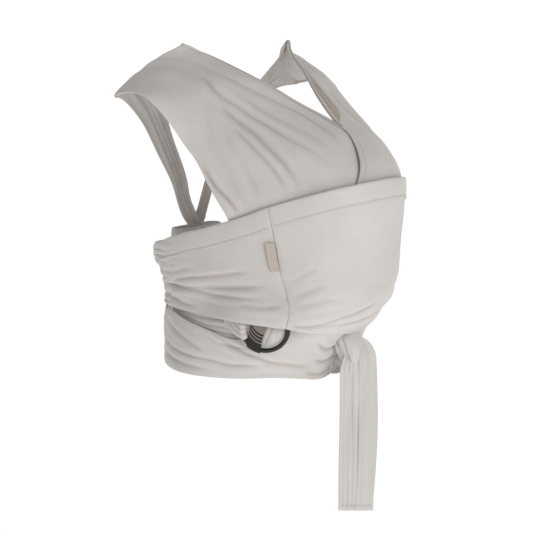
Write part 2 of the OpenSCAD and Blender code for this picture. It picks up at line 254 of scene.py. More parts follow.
# Upper stretches of the straps, in arches through three points, then rows on the form
STRAP_ROWS = [
    [[115, 47, 451], [157, 90, 417], [209, 97, 381]],
    [[98, 31, 439], [143, 49, 421], [212, 68, 386]],
    [[77, 9, 424], [131, 14, 411], [210, 40, 381]],
    [[56, -31, 402], [124, -19, 397], [204, 20, 365]],
    [[37, -60, 385], [120, -44, 376], [195, 3, 343]],
    [[20, -89, 368], [115, -77, 349], [185, -10, 319]],
    [[1, -129, 347], [106, -117, 323], [177, -28, 294]],
    [[-7, -168, 326], [94, -158, 296], [172, -46, 262]],
    [[-29, -200, 289], [82, -189, 265], [166, -68, 227]],
]
STRAP_UNDER = [
    [252, 252, 338, 196],
    [243, 205, 318, 150],
    [236, 158, 292, 112],
    [231, 122, 264, 88],
    [226, 100, 242, 80],
]
BACK_ROWS = [
    [[116, 50, 449], [158, 93, 415], [209, 100, 378]],
    [[121, 65, 428], [152, 101, 401], [178, 117, 373]],
    [[116, 92, 398], [133, 115, 379], [149, 127, 358]],
    [[90, 116, 359], [103, 127, 344], [116, 133, 329]],
    [[60, 130, 311], [72, 135, 299], [84, 138, 287]],
    [[32, 135, 256], [42, 138, 247], [53, 140, 238]],
    [[9, 138, 196], [18, 140, 188], [28, 140, 180]],
]
BACK_UNDER = [
    [102, 144, 97, 126],
    [122, 112, 119, 90],
    [150, 92, 149, 62],
    [178, 78, 178, 46],
    [198, 76, 198, 36],
    [214, 78, 214, 38],
]


def strap(rows, under, height, sink, flip, lead=()):
    """Surface of a strap: arches over the shoulder, moved back by sink, then a stretch on the form.

    A lead is an arch ahead of the first one, reached with u below 0.
    """
    rows = np.array(rows, float)
    under = np.array(under, float)

    def surface(u, t):
        v = t[None, :, None]
        upper = arch(rows[:, None, 0], rows[:, None, 1], rows[:, None, 2], v)
        upper[..., 1] += sink(np.arange(len(rows))[:, None], t[None, :])
        phi = under[:, None, 0] + (under[:, None, 2] - under[:, None, 0]) * t[None, :]
        z = under[:, None, 1] + (under[:, None, 3] - under[:, None, 1]) * t[None, :]
        controls = np.concatenate([upper, form(phi, z, height)])
        if len(lead):
            a, b, c = np.array(lead, float)
            first = arch(a, b, c, t[:, None])
            controls = np.concatenate([first[None], controls])
            u = (1 + u * (len(controls) - 2)) / (len(controls) - 1)
        grid = curve(controls, u)
        return mirrored(grid) if flip else grid

    return surface


# ---- cloth sheets ----

SWELL = 0.45            # height of the swells beside a fold, as a share of its depth
RIM_STEPS = np.array([0, 0.1, 0.4, 1.0])    # where points lie along a rounded rim, in its radius
CORE = np.array([0.0, -20.0, 120.0])        # a point inside the torso: outer faces look away from it


def spaced(length, step, radius, cut):
    """Shares of a length: even steps, with closer ones at each rounded rim."""
    near = RIM_STEPS * radius
    start = np.zeros(1) if cut[0] else near
    end = np.array([length]) if cut[1] else length - near[::-1]
    count = max(3, round((end[0] - start[-1]) / step))
    between = np.linspace(start[-1], end[0], count + 1)[1:-1]
    return np.concatenate([start, between, end]) / length


def path_length(points):
    return float(np.linalg.norm(np.diff(points, axis=0), axis=-1).sum())


def nearest(points, path):
    """Distance from each point to a path, and the share of the path at which it is nearest."""
    flat = points.reshape(-1, 3)
    start, step = path[:-1], np.diff(path, axis=0)
    away = flat[:, None] - start[None]
    share = np.clip((away * step).sum(-1) / np.maximum((step * step).sum(-1), 1e-9), 0, 1)
    gap = np.linalg.norm(away - share[..., None] * step[None], axis=-1)
    best = gap.argmin(axis=1)
    rows = np.arange(len(flat))
    along = (best + share[rows, best]) / len(step)
    return gap[rows, best].reshape(points.shape[:-1]), along.reshape(points.shape[:-1])


def blurred(values, reach):
    """Running mean over reach cells each way, along both axes."""
    span = 2 * reach + 1
    for _ in range(2):
        total = np.cumsum(np.pad(values, ((reach + 1, reach), (0, 0)), mode="edge"), axis=0)
        values = (total[span:] - total[:-span]).T / span
    return values


def quads(g):
    """Faces between the neighbours of a grid of point numbers."""
    return np.stack([g[:-1, :-1], g[1:, :-1], g[1:, 1:], g[:-1, 1:]], axis=-1).reshape(-1, 4)


def new_object(name, verts, faces):
    """Object of a mesh made from points in millimetres."""
    mesh = bpy.data.meshes.new(name)
    mesh.from_pydata((np.asarray(verts) * MM).tolist(), [], faces)
    mesh.polygons.foreach_set("use_smooth", [True] * len(mesh.polygons))
    mesh.update()
    obj = bpy.data.objects.new(name, mesh)
    scene.collection.objects.link(obj)
    return obj


def sharpen(mesh, count):
    """Makes the edges of the last few faces sharp."""
    if count:
        edges = np.zeros(len(mesh.loops), np.int32)
        mesh.loops.foreach_get("edge_index", edges)
        sharp = np.zeros(len(mesh.edges), bool)
        sharp[edges[mesh.polygons[len(mesh.polygons) - count].loop_start:]] = True
        mesh.edges.foreach_set("use_edge_sharp", sharp)


def place(obj, material, body, nodes=()):
    """Gives a piece its material, and makes it move with a body."""
    obj.data.materials.append(material)
    if body:
        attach(obj, body)
    if nodes:
        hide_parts(*nodes)
    return obj


class Sheet:
    """Cloth whose inner face is a surface of (u, t). Folds are added before the mesh is made."""

    def __init__(self, surface, step=2.0, thick=CLOTH_T, cut=(False, False), core=CORE):
        probe = surface(np.linspace(0, 1, 41), np.linspace(0, 1, 21))
        self.length = path_length(probe[:, 10])
        self.width = max(path_length(probe[20]), path_length(probe[8]))
        self.cut = cut
        self.u = spaced(self.length, step, thick / 2, cut)
        self.t = spaced(self.width, step, thick / 2, (False, False))
        self.base = surface(self.u, self.t)
        normals = grid_normals(self.base)
        self.out = 1 if (normals * (self.base - core)).sum() > 0 else -1
        self.high = np.full(self.base.shape[:2], thick / 2)
        self.thick = thick
        grid = np.meshgrid(self.u * self.length, self.t * self.width, indexing="ij")
        self.coords = np.stack(grid, axis=-1)

    def cells(self, u, t):
        """Cell and weights of each (u, t)."""
        i = np.interp(u, self.u, np.arange(len(self.u)))
        j = np.interp(t, self.t, np.arange(len(self.t)))
        i0 = np.clip(i.astype(int), 0, len(self.u) - 2)
        j0 = np.clip(j.astype(int), 0, len(self.t) - 2)
        return i0, j0, (i - i0)[..., None], (j - j0)[..., None]

    def read(self, grid, u, t):
        i, j, a, b = self.cells(np.asarray(u, float), np.asarray(t, float))
        low = grid[i, j] * (1 - a) + grid[i + 1, j] * a
        high = grid[i, j + 1] * (1 - a) + grid[i + 1, j + 1] * a
        return low * (1 - b) + high * b

    def fold(self, line, depth, width, crisp=1.5, ends=(0.25, 0.25)):
        """Sunken crease along (u, t) points, with a swell on each side. Ends are tapered shares."""
        path = curve(line, np.linspace(0, 1, 29))
        gap, along = nearest(self.base, self.read(self.base, path[:, 0], path[:, 1]))
        x = gap / width
        valley = 0.6 * np.exp(-(x**crisp)) + 0.4 * np.exp(-((2.6 * x) ** 1.2))
        shape = SWELL * bump(1.5, 0.8, x) - valley
        taper = ease(0, max(ends[0], 1e-6), along) * ease(0, max(ends[1], 1e-6), 1 - along)
        self.high += depth * taper * shape

    def gather(self, centre, spread, count, depth, seed):
        """Pleats that run along the sheet, deepest round one share of its length."""
        drift = 0.3 * field(self.coords, (70, 30), seed)
        pleat = np.abs(np.sin(math.pi * (self.t[None, :] * count + drift))) ** 0.8 - 0.6
        self.high += depth * bump(centre, spread, self.u)[:, None] * pleat

    def pucker(self, end, depth, seed):
        """Seam along one end: the cloth dips into it and is drawn into small uneven puckers."""
        away = np.abs(self.u - end)[:, None] * self.length
        uneven = field(self.coords, (60, 5), seed)
        self.high += depth * (0.35 * uneven * np.exp(-away / 9) - 1.1 * np.exp(-away / 2.2))

    def ripple(self, amount, scales, seed):
        """Soft unevenness, with feature sizes along and across the sheet."""
        self.high += amount * field(self.coords, scales, seed)

    def rim(self):
        """Share of the thickness left at each point, which falls to nothing along a rounded rim."""

        def share(values, size, cut):
            low = values * size + self.thick * cut[0]
            high = (1 - values) * size + self.thick * cut[1]
            near = np.minimum(np.minimum(low, high) / (self.thick / 2), 1)
            return np.sqrt(np.maximum(1 - (1 - near) ** 2, 0))

        along = share(self.u, self.length, self.cut)
        across = share(self.t, self.width, (False, False))
        return along[:, None] * across[None, :]

    def faces(self):
        """Grids of the outer and the inner face."""
        middle = self.base + (self.out * self.high)[..., None] * grid_normals(self.base)
        half = (self.out * self.thick / 2 * self.rim())[..., None] * grid_normals(middle)
        return middle + half, middle - half

    def over(self, u_span, t_span, lift):
        """Surface of a strip on the outer face. The ends of t_span are shares, or functions of u."""
        outer, _ = self.faces()
        normals = self.out * grid_normals(outer)

        def surface(u, t):
            uu = u_span[0] + (u_span[1] - u_span[0]) * u
            low, high = [end(uu) if callable(end) else end + 0 * uu for end in t_span]
            tt = low[:, None] + (high - low)[:, None] * t[None, :]
            uu = uu[:, None] + 0 * tt
            return self.read(outer, uu, tt) + lift * self.read(normals, uu, tt)

        return surface

    def make(self, name, material, body, nodes=(), rows=None):
        """Closed mesh of the sheet, or of some of its rows, with a flat cap where it is cut."""
        last = len(self.u) - 1
        low, high = rows or (0, last)
        cut = (self.cut[0] or low > 0, self.cut[1] or high < last)
        outer, inner = [face[low:high + 1] for face in self.faces()]
        n, m = outer.shape[:2]
        front = np.arange(n * m).reshape(n, m)
        back = front + n * m
        shared = np.zeros((n, m), bool)
        shared[:, [0, -1]] = True
        shared[0] |= not cut[0]
        shared[-1] |= not cut[1]
        back[shared] = front[shared]
        ids = np.full(2 * n * m, -1)
        used = np.unique(np.concatenate([front.ravel(), back.ravel()]))
        ids[used] = np.arange(len(used))
        verts = np.concatenate([outer.reshape(-1, 3), inner.reshape(-1, 3)])[used]

        polygons = quads(front)[:, ::-self.out], quads(back)[:, ::self.out]
        smooth = [True] * sum(len(p) for p in polygons)
        polygons = np.concatenate(polygons)
        for end, row in enumerate((0, -1)):
            if cut[end]:
                strip = np.stack([front[row], back[row]])
                cap = quads(strip)[:, ::-self.out if end else self.out]
                polygons = np.concatenate([polygons, cap])
                smooth += [False] * len(cap)
        polygons = [list(dict.fromkeys(p)) for p in ids[polygons].tolist()]
        obj = new_object(name, verts, polygons)
        obj.data.polygons.foreach_set("use_smooth", smooth)
        sharpen(obj.data, smooth.count(False))
        where = np.concatenate([np.arange(n * m)] * 2)[used]
        self.paint(obj.data, where + low * m)
        return place(obj, material, body, nodes)

    def dress(self, node, material=None):
        """Makes the piece of the carrier that stands in for a CAD node."""
        self.make(f"{node}_cloth", material or CLOTH, "carrier", [node])

    def paint(self, mesh, where):
        """Stores what the materials read: cloth coordinates, and how sunken or raised a point is, turned
        into painted shade in hollows and a painted highlight on ridges.
        """
        fabric = (self.coords.reshape(-1, 2) * MM)[where]
        corners = np.zeros(len(mesh.loops), np.int32)
        mesh.loops.foreach_get("vertex_index", corners)
        mesh.uv_layers.new(name="cloth").data.foreach_set("uv", fabric[corners].ravel())
        # how sunken or raised each point is: the jersey paints shade into hollows and a highlight onto
        # ridges from it
        fold_shade_and_highlight = np.clip((self.high - blurred(self.high, 5)) / 1.6, -1, 1).ravel()[where]
        mesh.attributes.new("fold_shade_and_highlight", "FLOAT", "POINT").data.foreach_set("value", fold_shade_and_highlight)


THREAD_R = 0.26
STITCH = 0.36           # half the length of a stitch, as a share of the pitch


def stitch_row(name, sheet, path, body="carrier", pitch=3.6, lift=0.15):
    """One row of thread stitches along a path of (u, t) points on the outer face of a sheet."""
    outer, _ = sheet.faces()
    normals = sheet.out * grid_normals(outer)
    line = curve(path, np.linspace(0, 1, 400))
    spots = sheet.read(outer, line[:, 0], line[:, 1])
    way = np.concatenate([[0], np.cumsum(np.linalg.norm(np.diff(spots, axis=0), axis=-1))])
    starts = np.arange(pitch, way[-1] - pitch, pitch)
    at = starts[:, None] + np.linspace(-STITCH, STITCH, 5)[None, :] * pitch
    where = np.stack([np.interp(at, way, line[:, k]) for k in (0, 1)], axis=-1)
    centre = sheet.read(outer, where[..., 0], where[..., 1])
    up = unit(sheet.read(normals, where[..., 0], where[..., 1]))
    ahead = unit(np.gradient(centre, axis=1))
    side = np.cross(ahead, up)
    swell = np.array([0.3, 0.85, 1.0, 0.85, 0.3])
    centre = centre + (1.6 * lift * (swell - 0.4))[None, :, None] * up
    turn = np.linspace(0, 2 * math.pi, 7)[:-1]
    ring = np.cos(turn)[:, None] * side[:, :, None] + np.sin(turn)[:, None] * up[:, :, None]
    verts = centre[:, :, None] + THREAD_R * swell[None, :, None, None] * ring
    count, rings, sides = verts.shape[:3]
    ids = np.arange(count * rings * sides).reshape(count, rings, sides)
    nxt = np.roll(ids, -1, axis=2)
    walls = np.stack([ids[:, :-1], nxt[:, :-1], nxt[:, 1:], ids[:, 1:]], axis=-1).reshape(-1, 4)
    lids = np.concatenate([ids[:, 0, ::-1], ids[:, -1]])
    obj = new_object(name, verts.reshape(-1, 3), walls.tolist() + lids.tolist())
    place(obj, THREAD, body)


# ---- materials ----


def rgb(*values):
    """Linear colour from sRGB values of 0 to 255."""
    c = np.array(values) / 255
    return (*np.where(c <= 0.04045, c / 12.92, ((c + 0.055) / 1.055) ** 2.4), 1.0)


class Finish:
    """A node material that is put together link by link."""

    def __init__(self, name):
        self.material = bpy.data.materials.new(name)
        self.material.use_nodes = True
        self.tree = self.material.node_tree
        self.tree.nodes.clear()

    def add(self, kind, inputs=None, **settings):
        """Adds a node. Each input is a value, or a socket to link from."""
        node = self.tree.nodes.new("ShaderNode" + kind)
        for key, value in settings.items():
            setattr(node, key, value)
        for key, value in (inputs or {}).items():
            socket = node.inputs[key]
            if isinstance(value, bpy.types.NodeSocket):
                self.tree.links.new(value, socket)
            else:
                socket.default_value = value
        return node

    def maths(self, operation, a, b=0.0):
        return self.add("Math", {0: a, 1: b}, operation=operation).outputs[0]

    def noise(self, scale, detail):
        where = self.add("TexCoord").outputs["Object"]
        return self.add("TexNoise", {"Scale": scale, "Detail": detail, "Vector": where}).outputs["Fac"]

    def mix(self, factor, a, b):
        """Mixes two colours, which are sockets 6 and 7 of the node."""
        return self.add("Mix", {0: factor, 6: a, 7: b}, data_type="RGBA").outputs[2]

    def scaled(self, value, low, high, start=0.0, end=1.0):
        """Value moved from the range low to high to the range start to end."""
        inputs = {"Value": value, "From Min": low, "From Max": high, "To Min": start, "To Max": end}
        return self.add("MapRange", inputs).outputs["Result"]

    def bump(self, height, strength, distance, under=None):
        inputs = {"Height": height, "Strength": strength, "Distance": distance}
        if under:
            inputs["Normal"] = under
        return self.add("Bump", inputs).outputs["Normal"]

    def close(self, inputs):
        """Adds the surface shader and the output."""
        shader = self.add("BsdfPrincipled", inputs)
        self.add("OutputMaterial", {"Surface": shader.outputs["BSDF"]})
        return self.material


def jersey(name, light, dark, wale=1.1):
    """Stretch jersey: fine ribs of looped stitches, flecked yarn, painted shade in the hollows of folds and
    a painted highlight on their ridges.
    """
    f = Finish(name)
    fabric = f.add("SeparateXYZ", {"Vector": f.add("UVMap", uv_map="cloth").outputs["UV"]})
    along = f.maths("MULTIPLY", fabric.outputs["X"], 1000 / (wale * 0.8))
    across = f.maths("MULTIPLY", fabric.outputs["Y"], 1000 / wale)
    zigzag = f.maths("MULTIPLY", f.maths("PINGPONG", along, 0.5), 0.55)
    rib = f.maths("PINGPONG", f.maths("ADD", across, zigzag), 0.5)
    loops = f.maths("MULTIPLY", rib, f.scaled(f.maths("PINGPONG", along, 0.5), 0, 0.5, 0.7, 1.0))
    fleck = f.noise(1500.0, 2.0)
    slub = f.noise(160.0, 4.0)
    cloud = f.noise(11.0, 3.0)
    fold_shade_and_highlight = f.add("Attribute", attribute_name="fold_shade_and_highlight").outputs["Fac"]
    colour = f.mix(f.scaled(cloud, 0.3, 0.7), rgb(*light), rgb(*dark))
    colour = f.mix(f.scaled(fleck, 0.35, 0.75, 0.0, 0.16), colour, rgb(150, 142, 132))
    colour = f.mix(f.scaled(slub, 0.3, 0.7, 0.0, 0.1), colour, rgb(228, 224, 219))
    # painted shade: darker, browner colour where the cloth is sunken into a fold
    colour = f.mix(f.scaled(fold_shade_and_highlight, 0.0, -1.0, 0.0, 0.34), colour, rgb(150, 130, 116))
    # painted highlight: lighter colour where the cloth is raised on a fold's ridge
    colour = f.mix(f.scaled(fold_shade_and_highlight, 0.0, 1.0, 0.0, 0.25), colour, rgb(214, 212, 209))
    normal = f.bump(slub, 0.25, 0.0004)
    normal = f.bump(f.maths("ADD", loops, f.maths("MULTIPLY", fleck, 0.35)), 0.55, 0.00012, normal)
    return f.close({
        "Base Color": colour,
        "Roughness": f.scaled(slub, 0.2, 0.8, 0.82, 0.95),
        "Normal": normal,
        "Sheen Weight": 0.25,
        "Sheen Roughness": 0.5,
        "Sheen Tint": rgb(240, 236, 230),
        "Specular IOR Level": 0.25,
    })


def webbing(name, base, stripe, pitch=2.2, bars=(1000.0, 1000.0)):
    """Ribbed webbing, with bars of the stripe colour between two distances and all stripe past them."""
    f = Finish(name)
    fabric = f.add("SeparateXYZ", {"Vector": f.add("UVMap", uv_map="cloth").outputs["UV"]})
    along = f.maths("MULTIPLY", fabric.outputs["X"], 1000.0)
    across = f.maths("MULTIPLY", fabric.outputs["Y"], 1000.0)
    weft = f.maths("PINGPONG", f.maths("MULTIPLY", along, 1 / 0.9), 0.5)
    warp = f.maths("PINGPONG", f.maths("MULTIPLY", across, 1 / 1.3), 0.5)
    weave = f.maths("ADD", weft, warp)
    fleck = f.noise(1800.0, 2.0)
    bar = f.maths("PINGPONG", f.maths("MULTIPLY", along, 1 / pitch), 0.5)
    striped = f.maths("MULTIPLY", f.scaled(bar, 0.13, 0.22), f.scaled(along, bars[0], bars[0] + 0.6))
    dark = f.maths("MAXIMUM", striped, f.scaled(along, bars[1], bars[1] + 0.6))
    colour = f.mix(f.scaled(fleck, 0.3, 0.7), rgb(*base), rgb(*[v * 0.82 for v in base]))
    colour = f.mix(dark, colour, rgb(*stripe))
    return f.close({
        "Base Color": colour,
        "Roughness": f.scaled(fleck, 0.3, 0.7, 0.7, 0.9),
        "Normal": f.bump(weave, 0.7, 0.0003),
        "Sheen Weight": 0.15,
    })


def glossy_ring(name):
    """Coated ring: near black, with a soft highlight, fine scratches and a slightly uneven coat."""
    f = Finish(name)
    coat = f.noise(260.0, 4.0)
    scratch = f.noise(2600.0, 2.0)
    colour = f.mix(f.scaled(coat, 0.35, 0.7), rgb(12, 12, 11), rgb(26, 25, 23))
    return f.close({
        "Base Color": colour,
        "Specular IOR Level": 0.4,
        "Roughness": f.scaled(scratch, 0.3, 0.7, 0.2, 0.34),
        "Normal": f.bump(coat, 0.15, 0.00015),
        "Coat Weight": 0.3,
        "Coat Roughness": 0.15,
    })


def plain(name, colour, rough, glow=0.0):
    """Matt surface with a faint grain, for the backdrop and the thread. The glow is light of its own."""
    f = Finish(name)
    grain = f.noise(700.0, 2.0)
    dim = [v * 0.985 for v in colour]
    return f.close({
        "Base Color": f.mix(grain, rgb(*colour), rgb(*dim)),
        "Roughness": rough,
        "Emission Color": (1, 1, 1, 1),
        "Emission Strength": glow,
    })


CLOTH = jersey("jersey", (205, 201, 198), (198, 193, 189))
# darker, browner copy of the jersey: painted shade for cloth that lies in shadow, used on the turned neck
# edge and the lining
SHADED_JERSEY = jersey("jersey_painted_shade", (172, 157, 145), (162, 147, 135))
HEM = jersey("jersey_hem", (201, 196, 191), (192, 186, 180), wale=0.9)
WEB = webbing("webbing_stripes", (150, 135, 125), (26, 25, 24), 5.0, (20.5, 38.0))
WEB_PLAIN = webbing("webbing_plain", (150, 138, 128), (90, 82, 76))
RING = glossy_ring("ring_coat")
LABEL = webbing("label_weave", (202, 190, 178), (186, 172, 158))
THREAD = plain("thread", (168, 160, 151), 0.8)


# ---- front panel and bands ----

CASING_H = 29
CASING_LIFT = 0.3       # clearance between a casing and the cloth under it


def casing_start(rows):
    """Share of the sheet's height at which its casing begins, as a function of u."""
    share = 1 - CASING_H / (rows[:, 3] - rows[:, 1])
    return lambda u: curve(share, u)


def add_casing(sheet, rows, node):
    """Folded casing along the top edge, with two rows of stitches near its lower edge."""
    start = casing_start(rows)
    casing = Sheet(sheet.over((0, 1), (start, 1.0), CASING_LIFT), thick=1.6)
    across = casing.t[None, :]
    casing.high += 0.35 * np.sin(math.pi * across) ** 0.7 - 0.4 * bump(0.16, 0.035, across)
    casing.ripple(0.2, (26, 40), 5)
    casing.dress(node)
    for k, height in enumerate((0.07, 0.135)):
        path = [(u, height) for u in np.linspace(0.004, 0.996, 12)]
        stitch_row(f"{node}_cloth_stitches_{k + 1}", casing, path)


# Folds of each sheet: line of (u, t), depth, width and, for some, crispness and tapers of the ends
PANEL_FOLDS = [
    ([(0.015, 0.375), (0.06, 0.41), (0.12, 0.46), (0.16, 0.48)], 0.7, 5),
    ([(0.01, 0.25), (0.06, 0.285), (0.12, 0.33), (0.2, 0.355)], 1.0, 6),
    ([(0.005, 0.19), (0.1, 0.22), (0.2, 0.25), (0.33, 0.23)], 0.9, 6),
    ([(0.0, 0.02), (0.12, 0.045), (0.25, 0.09), (0.36, 0.14), (0.52, 0.2), (0.62, 0.21)],
     3.2, 7, 1.3, (0.1, 0.4)),
    ([(0.03, 0.0), (0.23, 0.05), (0.4, 0.085), (0.6, 0.1), (0.75, 0.11)], 2.2, 6, 1.3),
    ([(0.25, 0.66), (0.4, 0.66), (0.55, 0.7)], 0.5, 14, 2.0),
    ([(0.3, 0.3), (0.5, 0.33), (0.7, 0.3)], 0.9, 16, 2.0),
]


def front_panel():
    """Outer cloth with its casing, and the lining inside it."""
    rows = panel_rows(0, 0, L_PANEL)
    panel = Sheet(layer(rows), cut=(True, True))
    panel.pucker(0, 0.5, 13)
    panel.pucker(1, 0.5, 14)
    panel.ripple(0.7, (90, 60), 11)
    for fold in PANEL_FOLDS:
        panel.fold(*fold)
    panel.dress("front_panel")
    add_casing(panel, rows, "front_panel_casing")

    lining = Sheet(layer(panel_rows(3, -3, L_LINING)), step=3.0, thick=1.4)
    lining.ripple(0.4, (80, 60), 12)
    # the lining uses the darker jersey with painted shade
    lining.dress("front_panel_lining", SHADED_JERSEY)


BAND_FOLDS = [
    ([(0.5, 0.385), (0.4, 0.42), (0.29, 0.45), (0.18, 0.473), (0.09, 0.496)], 1.8, 4.5),
    ([(0.58, 0.3), (0.45, 0.325), (0.37, 0.326), (0.24, 0.32), (0.14, 0.333), (0.03, 0.357)], 3.0, 5.5),
    ([(0.6, 0.36), (0.5, 0.33), (0.41, 0.3), (0.334, 0.279), (0.263, 0.248), (0.176, 0.233), (0.02, 0.209)],
     3.4, 5),
    ([(0.17, 0.17), (0.14, 0.163), (0.074, 0.163), (0.0, 0.202)], 1.8, 5),
    ([(0.6, 0.17), (0.5, 0.14), (0.4, 0.09), (0.3, 0.07)], 2.2, 5),
    ([(0.55, 0.52), (0.42, 0.53), (0.3, 0.56)], 1.2, 4.5),
    ([(0.62, 0.66), (0.5, 0.63), (0.4, 0.64)], 1.2, 5),
]
LEFT_SHARE = 0.25       # depth of the left band's folds, which would otherwise cut into the ring loop


def side_band(side, outer):
    """Band from a side seam to the middle of the back, where the outer one lies over the other."""
    rows = band_rows(outer)
    band = Sheet(layer(rows, flip=side == "left"), cut=(True, True))
    band.pucker(0, 0.7, 27)
    band.pucker(1, 0.5, 28)
    band.ripple(0.5, (70, 26), 21 + outer)
    for line, depth, width in BAND_FOLDS:
        band.fold(line, depth * (LEFT_SHARE if side == "left" else 1), width, 1.35)
    if side == "left":
        band.high += 1.8 * bump(0.15, 0.06, band.u)[:, None] * bump(0.17, 0.1, band.t)[None, :]
    band.gather(0.62, 0.16, 9, 3.0, 23 + outer)
    band.gather(0.95, 0.3, 6, 2.0, 25 + outer)
    band.dress(f"side_band_{side}")
    add_casing(band, rows, f"side_casing_{side}")


WRAP_FOLDS = [
    ([(0.3, 0.99), (0.38, 0.98), (0.422, 0.95), (0.456, 0.814), (0.5, 0.636), (0.555, 0.442), (0.617, 0.27),
      (0.72, 0.225), (0.83, 0.24)], 2.6, 5),
    ([(0.23, 0.82), (0.27, 0.76), (0.33, 0.66), (0.37, 0.58), (0.42, 0.44)], 2.2, 6),
    ([(0.2, 0.5), (0.27, 0.4), (0.35, 0.365), (0.41, 0.385), (0.447, 0.35), (0.53, 0.287), (0.68, 0.2)],
     2.4, 5),
    ([(0.36, 0.9), (0.4, 0.86), (0.415, 0.83), (0.47, 0.79), (0.52, 0.72)], 1.8, 4),
    ([(0.2, 0.25), (0.3, 0.18), (0.42, 0.17)], 1.8, 6),
    ([(0.72, 0.72), (0.83, 0.62), (0.92, 0.65), (1.0, 0.8)], 2.6, 5),
    ([(0.73, 0.13), (0.86, 0.1), (0.97, 0.16)], 2.0, 5),
    ([(0.76, 0.4), (0.88, 0.36), (0.96, 0.42), (1.0, 0.5)], 2.8, 5),
]


def waist_wrap(side, outer):
    """Tie from the middle of the back round the hip to the knot, under the band and the panel."""
    surface = layer(wrap_rows(outer), flip=side == "left", rise=0)
    wrap = Sheet(surface, thick=2.6, cut=(True, False))
    wrap.ripple(0.6, (80, 24), 31 + outer)
    for line, depth, width in WRAP_FOLDS:
        wrap.fold(line, depth, width, 1.3)
    wrap.gather(1.0, 0.06, 4, 1.0, 33 + outer)
    wrap.gather(0.05, 0.2, 6, 2.0, 35 + outer)
    wrap.pucker(0, 0.5, 37)
    wrap.dress(f"waist_wrap_{side}")


# ---- shoulder and back straps ----

LAP = 0.05              # share of its length by which a shoulder strap laps over the back strap
STRAP_LEAD = [[118.3, 58.5, 442], [155.5, 98.5, 411], [195.5, 110, 377.5]]
HEM_SHARE = 0.03        # width of a hem, and where it ends under the panel, as shares of the strap
HEM_END = 0.69
HEMS = [
    # edge, span across the strap, lift off its outer face: the arm hem lies on the inner face
    ("neck", (0.0, HEM_SHARE), 0.1),
    ("arm", (1 - HEM_SHARE, 1.0), -CLOTH_T - 1.1),
]

SHOULDER_FOLDS = [
    ([(0.1, 0.33), (0.18, 0.34), (0.25, 0.29), (0.33, 0.18), (0.4, 0.12), (0.49, 0.14), (0.55, 0.19)],
     2.6, 9, 1.5),
    ([(0.13, 0.47), (0.2, 0.54), (0.26, 0.56), (0.34, 0.49), (0.41, 0.43), (0.48, 0.41), (0.6, 0.37)],
     3.0, 7.5, 1.4),
    ([(0.26, 0.58), (0.33, 0.59), (0.38, 0.57), (0.43, 0.56), (0.48, 0.58), (0.54, 0.605), (0.63, 0.645)],
     3.4, 8, 1.4),
    ([(0.37, 0.64), (0.42, 0.645), (0.48, 0.66), (0.53, 0.675), (0.62, 0.715)], 2.6, 6, 1.4),
    ([(0.27, 0.69), (0.37, 0.79), (0.48, 0.86), (0.6, 0.9)], 1.0, 12, 2.0),
    ([(0.37, 0.71), (0.45, 0.77), (0.53, 0.81), (0.62, 0.84)], 1.2, 9, 2.0),
    ([(0.46, 0.985), (0.54, 0.98), (0.58, 0.965), (0.64, 0.95)], 3.4, 4.5, 1.3),
    ([(0.3, 0.42), (0.38, 0.34), (0.46, 0.28), (0.56, 0.28)], 1.2, 8, 2.0),
    ([(0.015, 0.1), (0.05, 0.05), (0.1, 0.07)], 1.2, 3.5, 1.3),
]
LEFT_FOLDS = [
    ([(0.0, 0.12), (0.09, 0.18), (0.2, 0.24), (0.31, 0.33), (0.43, 0.42), (0.52, 0.5)], 6.0, 13, 1.4),
    ([(0.12, 0.08), (0.25, 0.09), (0.36, 0.12), (0.44, 0.12)], 3.0, 6, 1.4),
    ([(0.12, 0.6), (0.3, 0.66), (0.5, 0.7), (0.6, 0.72)], 2.2, 14, 2.0),
    ([(0.28, 0.2), (0.42, 0.24), (0.6, 0.3)], 1.6, 10, 2.0),
]
TURNED = (0.08, 0.52)   # stretch of the left strap over which its neck edge is turned


def turned_edge(u):
    """Share of the left strap's width over which its neck edge is turned."""
    return 0.012 + 0.125 * ease(0.1, 0.4, u) * ease(TURNED[1], 0.43, u)


def turn_neck_edge(cloth):
    """Presses the neck edge of the left strap in, and turns part of it over to show the inside, in the
    darker jersey with painted shade.
    """
    cloth.high -= 4.5 * bump(0.55, 0.13, cloth.u)[:, None] * ease(0.2, 0.03, cloth.t)[None, :]
    turned = Sheet(cloth.over(TURNED, (0.0, turned_edge), 0.4), step=1.4, thick=0.8)
    turned.make("shoulder_strap_left_turned_edge", SHADED_JERSEY, "carrier")


def shoulder_strap(side, height, folds):
    """Broad strap from the shoulder over the chest to the other side, with its two hems."""

    def sink(k, t):
        return (L_STRAP_L - height) * (0.3 + 2.6 * ease(3, 6, k) * (1 - ease(0.5, 0.95, t)))

    surface = strap(STRAP_ROWS, STRAP_UNDER, height, sink, side == "right", STRAP_LEAD)
    cloth = Sheet(lambda u, t: surface((1 + LAP) * u - LAP, t), step=1.8)
    cloth.ripple(0.5, (110, 30), 41 + (side == "left"))
    for line, *shape in folds:
        cloth.fold([((u + LAP) / (1 + LAP), t) for u, t in line], *shape)
    beside_hem = [(u, 1.2 * HEM_SHARE) for u in (0.36, 0.5, 0.68)]
    cloth.fold(beside_hem, 1.1, 1.8, 1.3, (0.2, 0.0))
    cloth.high -= (cloth.high - CLOTH_T / 2) * ease(0.62, 0.72, cloth.u)[:, None]
    if side == "left":
        turn_neck_edge(cloth)
    cloth.dress(f"shoulder_strap_{side}")
    for edge, span, lift in HEMS:
        hem = Sheet(cloth.over((0, HEM_END), span, lift), step=1.2, thick=0.9)
        hem.high += 0.25 * np.sin(math.pi * hem.t)[None, :]
        hem.dress(f"{edge}_hem_{side}", HEM)
    path = [(u, HEM_SHARE * 0.8) for u in np.linspace(0.01, HEM_END - 0.01, 16)]
    stitch_row(f"neck_hem_{side}_stitches", cloth, path, pitch=3.0, lift=1.2)


